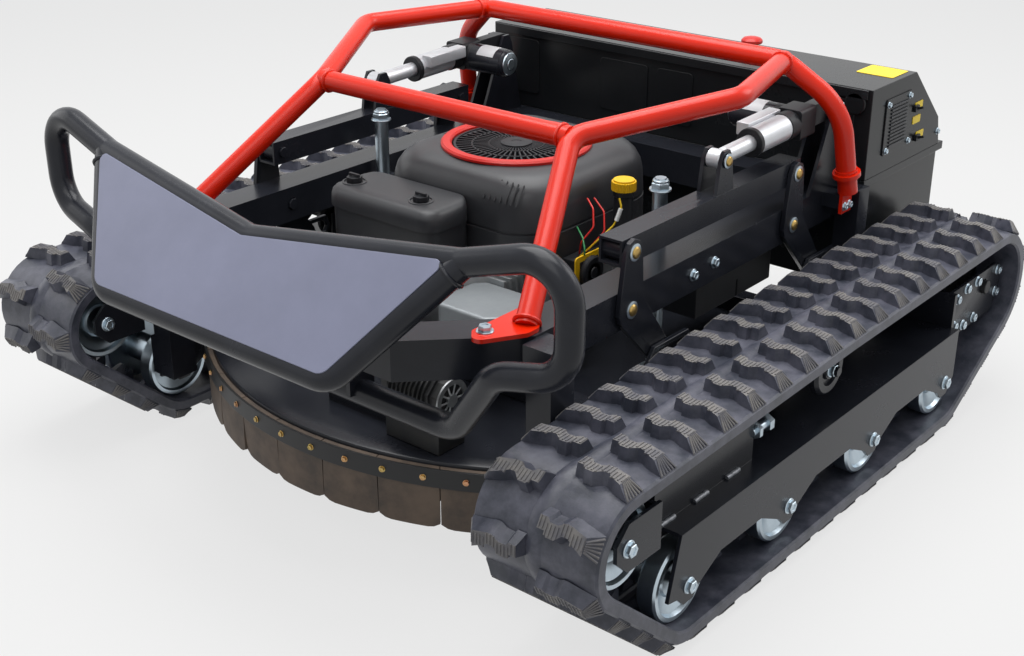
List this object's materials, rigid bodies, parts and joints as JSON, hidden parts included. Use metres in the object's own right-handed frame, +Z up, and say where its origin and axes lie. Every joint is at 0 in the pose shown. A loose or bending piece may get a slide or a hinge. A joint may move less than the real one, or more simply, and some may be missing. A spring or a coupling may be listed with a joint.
{
  "type": "remote control slope mower",
  "caption": "Tracked remote control slope mower with an engine deck that cranks and actuators raise between its tracks, a roll bar and a front bumper",
  "frame": {"origin": "the ground point under the middle of the overall box", "axes": "+X to the machine's near side in the picture, +Y to the rear, +Z up"},
  "size_m": [1.25, 1.4218, 0.6505],
  "materials": {
    "black_paint": "satin black paint",
    "grey_paint": "slate grey paint",
    "red_paint": "gloss orange-red paint",
    "track_rubber": "moulded rubber",
    "flap_rubber": "worn rubber sheet",
    "zinc": "zinc plated",
    "cast_iron": "dark cast metal",
    "aluminium": "drawn and cast aluminium",
    "black_plastic": "moulded dark grey plastic",
    "yellow_plastic": "yellow plastic",
    "red_plastic": "red plastic"
  },
  "bodies": {
    "root": {"chassis_frame": "black_paint", "roll_bar": "red_paint", "bumper_frame": "black_paint", "bumper_plate": "grey_paint", "rear_tray": "black_paint", "rear_cover": "black_paint", "track_frame_right": "black_paint", "track_frame_left": "black_paint", "drive_motor_right": "cast_iron", "drive_motor_left": "cast_iron", "track_belt_right": "track_rubber", "track_belt_left": "track_rubber", "battery_box_right": "black_plastic", "battery_box_left": "black_plastic"},
    "deck": {"deck_pan": "black_paint", "deck_skirt": "flap_rubber", "skirt_strip": "black_paint", "deck_cradle": "black_paint", "engine_block": "aluminium", "engine_shroud": "black_plastic", "fan_ring": "red_plastic", "air_cleaner_cover": "black_plastic", "muffler": "aluminium", "starter_motor": "black_paint", "throttle_servo": "black_plastic", "alternator": "cast_iron", "guide_post_right": "zinc", "guide_post_left": "zinc"},
    "blade": {"blade": "cast_iron"},
    "fan_screen": {"fan_screen": "black_plastic"},
    "cover_knob_left": {"cover_knob_left": "black_plastic"},
    "cover_knob_right": {"cover_knob_right": "black_plastic"},
    "filler_cap": {"filler_cap": "yellow_plastic"},
    "stop_button": {"stop_button": "red_plastic"},
    "front_crank_right": {"front_crank_right": "black_paint"},
    "front_crank_left": {"front_crank_left": "black_paint"},
    "rear_crank_right": {"rear_crank_right": "black_paint"},
    "rear_crank_left": {"rear_crank_left": "black_paint"},
    "upper_link_right": {"upper_link_right": "black_paint"},
    "upper_link_left": {"upper_link_left": "black_paint"},
    "actuator_rod_right": {"actuator_rod_right": "aluminium"},
    "actuator_rod_left": {"actuator_rod_left": "aluminium"},
    "actuator_body_right": {"actuator_body_right": "black_paint"},
    "actuator_body_left": {"actuator_body_left": "black_paint"},
    "idler_fork_right": {"idler_fork_right": "black_paint"},
    "idler_fork_left": {"idler_fork_left": "black_paint"},
    "track_roller_1_right": {"track_roller_1_right": "zinc"},
    "track_roller_1_left": {"track_roller_1_left": "zinc"},
    "track_roller_2_right": {"track_roller_2_right": "zinc"},
    "track_roller_2_left": {"track_roller_2_left": "zinc"},
    "track_roller_3_right": {"track_roller_3_right": "zinc"},
    "track_roller_3_left": {"track_roller_3_left": "zinc"},
    "track_roller_4_right": {"track_roller_4_right": "zinc"},
    "track_roller_4_left": {"track_roller_4_left": "zinc"},
    "idler_wheel_right": {"idler_wheel_right": "zinc"},
    "idler_wheel_left": {"idler_wheel_left": "zinc"},
    "carrier_roller_right": {"carrier_roller_right": "black_paint"},
    "carrier_roller_left": {"carrier_roller_left": "black_paint"},
    "drive_sprocket_right": {"drive_sprocket_right": "cast_iron"},
    "drive_sprocket_left": {"drive_sprocket_left": "cast_iron"}
  },
  "joints": [
    {"name": "deck_lift", "type": "slide", "parent": "root", "child": "deck", "axis": [0, 0, 1], "range_m": [-0.015, 0.06]},
    {"name": "front_crank_right_turn", "type": "hinge", "parent": "root", "child": "front_crank_right", "pos_m": [0.35, -0.247, 0.38], "axis": [1, 0, 0], "range_deg": [-9, 35.6]},
    {"name": "rear_crank_right_turn", "type": "hinge", "parent": "root", "child": "rear_crank_right", "pos_m": [0.35, 0.208, 0.38], "axis": [1, 0, 0], "range_deg": [-9, 35.6]},
    {"name": "upper_link_right_swing", "type": "hinge", "parent": "front_crank_right", "child": "upper_link_right", "pos_m": [0.36, -0.244, 0.467], "axis": [1, 0, 0], "range_deg": [-35.6, 9]},
    {"name": "actuator_rod_right_swing", "type": "hinge", "parent": "upper_link_right", "child": "actuator_rod_right", "pos_m": [0.36, 0.005, 0.537], "axis": [1, 0, 0], "range_deg": [-0.5, 1.5]},
    {"name": "actuator_right_extend", "type": "slide", "parent": "actuator_rod_right", "child": "actuator_body_right", "axis": [0, 0.9996, 0.0265], "range_m": [-0.0135, 0.0525]},
    {"name": "track_tension_right", "type": "slide", "parent": "root", "child": "idler_fork_right", "axis": [0, 1, 0], "range_m": [0, 0.02]},
    {"name": "sprocket_right_spin", "type": "hinge", "parent": "root", "child": "drive_sprocket_right", "pos_m": [0.527, 0.538, 0.22], "axis": [1, 0, 0], "continuous": true},
    {"name": "roller_1_right_spin", "type": "hinge", "parent": "root", "child": "track_roller_1_right", "pos_m": [0.527, -0.418, 0.1022], "axis": [1, 0, 0], "continuous": true},
    {"name": "roller_2_right_spin", "type": "hinge", "parent": "root", "child": "track_roller_2_right", "pos_m": [0.527, -0.156, 0.1022], "axis": [1, 0, 0], "continuous": true},
    {"name": "roller_3_right_spin", "type": "hinge", "parent": "root", "child": "track_roller_3_right", "pos_m": [0.527, 0.106, 0.1022], "axis": [1, 0, 0], "continuous": true},
    {"name": "roller_4_right_spin", "type": "hinge", "parent": "root", "child": "track_roller_4_right", "pos_m": [0.527, 0.368, 0.1022], "axis": [1, 0, 0], "continuous": true},
    {"name": "idler_right_spin", "type": "hinge", "parent": "idler_fork_right", "child": "idler_wheel_right", "pos_m": [0.527, -0.558, 0.227], "axis": [1, 0, 0], "continuous": true},
    {"name": "carrier_right_spin", "type": "hinge", "parent": "root", "child": "carrier_roller_right", "pos_m": [0.527, -0.007, 0.258], "axis": [1, 0, 0], "continuous": true},
    {"name": "front_crank_left_turn", "type": "hinge", "parent": "root", "child": "front_crank_left", "pos_m": [-0.35, -0.247, 0.38], "axis": [1, 0, 0], "range_deg": [-9, 35.6]},
    {"name": "rear_crank_left_turn", "type": "hinge", "parent": "root", "child": "rear_crank_left", "pos_m": [-0.35, 0.208, 0.38], "axis": [1, 0, 0], "range_deg": [-9, 35.6]},
    {"name": "upper_link_left_swing", "type": "hinge", "parent": "front_crank_left", "child": "upper_link_left", "pos_m": [-0.36, -0.244, 0.467], "axis": [1, 0, 0], "range_deg": [-35.6, 9]},
    {"name": "actuator_rod_left_swing", "type": "hinge", "parent": "upper_link_left", "child": "actuator_rod_left", "pos_m": [-0.36, 0.005, 0.537], "axis": [1, 0, 0], "range_deg": [-0.5, 1.5]},
    {"name": "actuator_left_extend", "type": "slide", "parent": "actuator_rod_left", "child": "actuator_body_left", "axis": [0, 0.9996, 0.0265], "range_m": [-0.0135, 0.0525]},
    {"name": "track_tension_left", "type": "slide", "parent": "root", "child": "idler_fork_left", "axis": [0, 1, 0], "range_m": [0, 0.02]},
    {"name": "sprocket_left_spin", "type": "hinge", "parent": "root", "child": "drive_sprocket_left", "pos_m": [-0.527, 0.538, 0.22], "axis": [1, 0, 0], "continuous": true},
    {"name": "roller_1_left_spin", "type": "hinge", "parent": "root", "child": "track_roller_1_left", "pos_m": [-0.527, -0.418, 0.1022], "axis": [1, 0, 0], "continuous": true},
    {"name": "roller_2_left_spin", "type": "hinge", "parent": "root", "child": "track_roller_2_left", "pos_m": [-0.527, -0.156, 0.1022], "axis": [1, 0, 0], "continuous": true},
    {"name": "roller_3_left_spin", "type": "hinge", "parent": "root", "child": "track_roller_3_left", "pos_m": [-0.527, 0.106, 0.1022], "axis": [1, 0, 0], "continuous": true},
    {"name": "roller_4_left_spin", "type": "hinge", "parent": "root", "child": "track_roller_4_left", "pos_m": [-0.527, 0.368, 0.1022], "axis": [1, 0, 0], "continuous": true},
    {"name": "idler_left_spin", "type": "hinge", "parent": "idler_fork_left", "child": "idler_wheel_left", "pos_m": [-0.527, -0.558, 0.227], "axis": [1, 0, 0], "continuous": true},
    {"name": "carrier_left_spin", "type": "hinge", "parent": "root", "child": "carrier_roller_left", "pos_m": [-0.527, -0.007, 0.258], "axis": [1, 0, 0], "continuous": true},
    {"name": "blade_spin", "type": "hinge", "parent": "deck", "child": "blade", "pos_m": [0, -0.035, 0.1], "axis": [0, 0, 1], "continuous": true},
    {"name": "fan_spin", "type": "hinge", "parent": "deck", "child": "fan_screen", "pos_m": [0, -0.035, 0.49], "axis": [0, 0, 1], "continuous": true},
    {"name": "cover_knob_left_turn", "type": "hinge", "parent": "deck", "child": "cover_knob_left", "pos_m": [-0.15, -0.262, 0.46], "axis": [0, 0, 1], "range_deg": [0, 90]},
    {"name": "cover_knob_right_turn", "type": "hinge", "parent": "deck", "child": "cover_knob_right", "pos_m": [-0.004, -0.262, 0.46], "axis": [0, 0, 1], "range_deg": [0, 90]},
    {"name": "filler_cap_turn", "type": "hinge", "parent": "deck", "child": "filler_cap", "pos_m": [0.21, -0.023, 0.47], "axis": [0, 0, 1], "range_deg": [0, 90]},
    {"name": "stop_button_press", "type": "slide", "parent": "root", "child": "stop_button", "axis": [0, 0, -1], "range_m": [0, 0.004], "stiffness_N_per_m": 500}
  ],
  "couplings": [
    {"joint": "front_crank_right_turn", "follows": "deck_lift", "rad_per_m": 10.3},
    {"joint": "rear_crank_right_turn", "follows": "deck_lift", "rad_per_m": 10.3},
    {"joint": "upper_link_right_swing", "follows": "deck_lift", "rad_per_m": -10.3},
    {"joint": "actuator_rod_right_swing", "follows": "deck_lift", "rad_per_m": 0.4},
    {"joint": "actuator_right_extend", "follows": "deck_lift", "ratio": 0.86},
    {"joint": "roller_1_right_spin", "follows": "sprocket_right_spin", "ratio": 1.5033},
    {"joint": "roller_2_right_spin", "follows": "sprocket_right_spin", "ratio": 1.5033},
    {"joint": "roller_3_right_spin", "follows": "sprocket_right_spin", "ratio": 1.5033},
    {"joint": "roller_4_right_spin", "follows": "sprocket_right_spin", "ratio": 1.5033},
    {"joint": "idler_right_spin", "follows": "sprocket_right_spin", "ratio": 1.5033},
    {"joint": "carrier_right_spin", "follows": "sprocket_right_spin", "ratio": 2.1833},
    {"joint": "front_crank_left_turn", "follows": "deck_lift", "rad_per_m": 10.3},
    {"joint": "rear_crank_left_turn", "follows": "deck_lift", "rad_per_m": 10.3},
    {"joint": "upper_link_left_swing", "follows": "deck_lift", "rad_per_m": -10.3},
    {"joint": "actuator_rod_left_swing", "follows": "deck_lift", "rad_per_m": 0.4},
    {"joint": "actuator_left_extend", "follows": "deck_lift", "ratio": 0.86},
    {"joint": "roller_1_left_spin", "follows": "sprocket_left_spin", "ratio": 1.5033},
    {"joint": "roller_2_left_spin", "follows": "sprocket_left_spin", "ratio": 1.5033},
    {"joint": "roller_3_left_spin", "follows": "sprocket_left_spin", "ratio": 1.5033},
    {"joint": "roller_4_left_spin", "follows": "sprocket_left_spin", "ratio": 1.5033},
    {"joint": "idler_left_spin", "follows": "sprocket_left_spin", "ratio": 1.5033},
    {"joint": "carrier_left_spin", "follows": "sprocket_left_spin", "ratio": 2.1833},
    {"joint": "fan_spin", "follows": "blade_spin", "ratio": 1}
  ]
}
